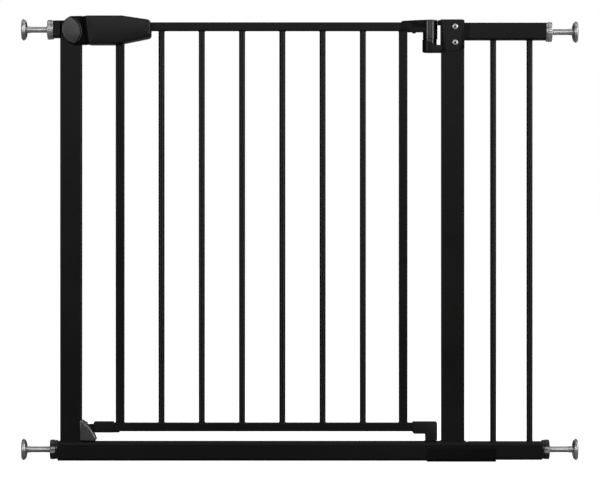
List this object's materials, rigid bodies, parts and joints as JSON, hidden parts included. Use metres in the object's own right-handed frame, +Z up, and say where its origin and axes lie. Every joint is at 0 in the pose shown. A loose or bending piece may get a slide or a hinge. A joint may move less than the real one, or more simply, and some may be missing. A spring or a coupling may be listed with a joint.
{
  "type": "safety baby gate",
  "caption": "Pressure-fitted safety gate with a lift-and-swing barred leaf, spring latch handle, threshold tube, side extension and screw spindles with wall pads.",
  "frame": {"origin": "on the floor, midway between the two walls and midway through the depth", "axes": "+X to the right seen from the front, front faces -Y, +Z up"},
  "size_m": [0.91, 0.045, 0.7298],
  "materials": {
    "powder_coat": "satin black powder coat",
    "black_plastic": "fine-textured black moulding",
    "catch_plastic": "dark grey moulding, polished slope",
    "zinc_steel": "bright zinc plate",
    "spring_steel": "plain spring wire",
    "grey_rubber": "matt light grey"
  },
  "bodies": {
    "frame": {"bottom_catch": "catch_plastic", "bottom_tube": "powder_coat", "bracket_screws": "zinc_steel", "coupling_sleeve": "black_plastic", "extension_bar_1": "powder_coat", "extension_bar_2": "powder_coat", "extension_bottom_tube": "powder_coat", "extension_connector": "black_plastic", "extension_top_tube": "powder_coat", "left_post": "powder_coat", "left_top_stub": "powder_coat", "lock_cap": "black_plastic", "lower_hinge_bush": "black_plastic", "right_post": "powder_coat", "rivet_nuts": "zinc_steel", "sleeve_screws": "zinc_steel", "spindle_guide_bottom_left": "black_plastic", "spindle_guide_bottom_right": "black_plastic", "spindle_guide_top_left": "black_plastic", "spindle_guide_top_right": "black_plastic", "upper_hinge_bracket": "powder_coat"},
    "hinge_pins": {"lower_hinge_pin": "zinc_steel", "upper_hinge_pin": "zinc_steel"},
    "gate_leaf": {"leaf_top_tube": "powder_coat", "leaf_bottom_tube": "powder_coat", "latch_stile": "powder_coat", "hinge_stile": "powder_coat", "leaf_bar_1": "powder_coat", "leaf_bar_2": "powder_coat", "leaf_bar_3": "powder_coat", "leaf_bar_4": "powder_coat", "leaf_bar_5": "powder_coat", "leaf_bar_6": "powder_coat", "handle_front_shell": "black_plastic", "handle_rear_shell": "black_plastic", "handle_screws": "zinc_steel", "leaf_catch_plug": "black_plastic", "hinge_elbow": "black_plastic", "upper_hinge_knuckle": "black_plastic", "knuckle_fixing_screw": "zinc_steel", "latch_spring": "spring_steel"},
    "lock_slider": {"thumb_button": "black_plastic", "latch_bolt": "black_plastic"},
    "wheel_top_left": {"hand_wheel_top_left": "zinc_steel"},
    "spindle_top_left": {"spindle_rod_top_left": "zinc_steel", "wall_plate_top_left": "zinc_steel", "wall_pad_top_left": "grey_rubber"},
    "wheel_top_right": {"hand_wheel_top_right": "zinc_steel"},
    "spindle_top_right": {"spindle_rod_top_right": "zinc_steel", "wall_plate_top_right": "zinc_steel", "wall_pad_top_right": "grey_rubber"},
    "wheel_bottom_left": {"hand_wheel_bottom_left": "black_plastic"},
    "spindle_bottom_left": {"spindle_rod_bottom_left": "zinc_steel", "wall_plate_bottom_left": "zinc_steel", "wall_pad_bottom_left": "grey_rubber"},
    "wheel_bottom_right": {"hand_wheel_bottom_right": "black_plastic"},
    "spindle_bottom_right": {"spindle_rod_bottom_right": "zinc_steel", "wall_plate_bottom_right": "zinc_steel", "wall_pad_bottom_right": "grey_rubber"}
  },
  "joints": [
    {"name": "leaf_swing", "type": "hinge", "parent": "frame", "child": "hinge_pins", "pos_m": [0.2135, 0, 0], "axis": [0, 0, 1], "range_deg": [-90, 90]},
    {"name": "leaf_lift", "type": "slide", "parent": "hinge_pins", "child": "gate_leaf", "axis": [0, 0, 1], "range_m": [0, 0.01]},
    {"name": "latch_draw", "type": "slide", "parent": "gate_leaf", "child": "lock_slider", "axis": [1, 0, 0], "range_m": [0, 0.008], "stiffness_N_per_m": 400, "springref_m": -0.006, "deforming": ["latch_spring"]},
    {"name": "wheel_turn_top_left", "type": "hinge", "parent": "frame", "child": "wheel_top_left", "pos_m": [-0.405, 0, 0.7065], "axis": [-1, 0, 0], "range_deg": [-3121, 4081]},
    {"name": "spindle_slide_top_left", "type": "slide", "parent": "frame", "child": "spindle_top_left", "axis": [-1, 0, 0], "range_m": [-0.017, 0.013]},
    {"name": "wheel_turn_top_right", "type": "hinge", "parent": "frame", "child": "wheel_top_right", "pos_m": [0.405, 0, 0.7028], "axis": [1, 0, 0], "range_deg": [-3121, 4081]},
    {"name": "spindle_slide_top_right", "type": "slide", "parent": "frame", "child": "spindle_top_right", "axis": [1, 0, 0], "range_m": [-0.017, 0.013]},
    {"name": "wheel_turn_bottom_left", "type": "hinge", "parent": "frame", "child": "wheel_bottom_left", "pos_m": [-0.405, 0, 0.01955], "axis": [-1, 0, 0], "range_deg": [-3121, 4081]},
    {"name": "spindle_slide_bottom_left", "type": "slide", "parent": "frame", "child": "spindle_bottom_left", "axis": [-1, 0, 0], "range_m": [-0.017, 0.013]},
    {"name": "wheel_turn_bottom_right", "type": "hinge", "parent": "frame", "child": "wheel_bottom_right", "pos_m": [0.405, 0, 0.01955], "axis": [1, 0, 0], "range_deg": [-3121, 4081]},
    {"name": "spindle_slide_bottom_right", "type": "slide", "parent": "frame", "child": "spindle_bottom_right", "axis": [1, 0, 0], "range_m": [-0.017, 0.013]}
  ],
  "couplings": [
    {"joint": "wheel_turn_top_left", "follows": "spindle_slide_top_left", "rad_per_m": -4188.8},
    {"joint": "wheel_turn_top_right", "follows": "spindle_slide_top_right", "rad_per_m": -4188.8},
    {"joint": "wheel_turn_bottom_left", "follows": "spindle_slide_bottom_left", "rad_per_m": -4188.8},
    {"joint": "wheel_turn_bottom_right", "follows": "spindle_slide_bottom_right", "rad_per_m": -4188.8}
  ]
}
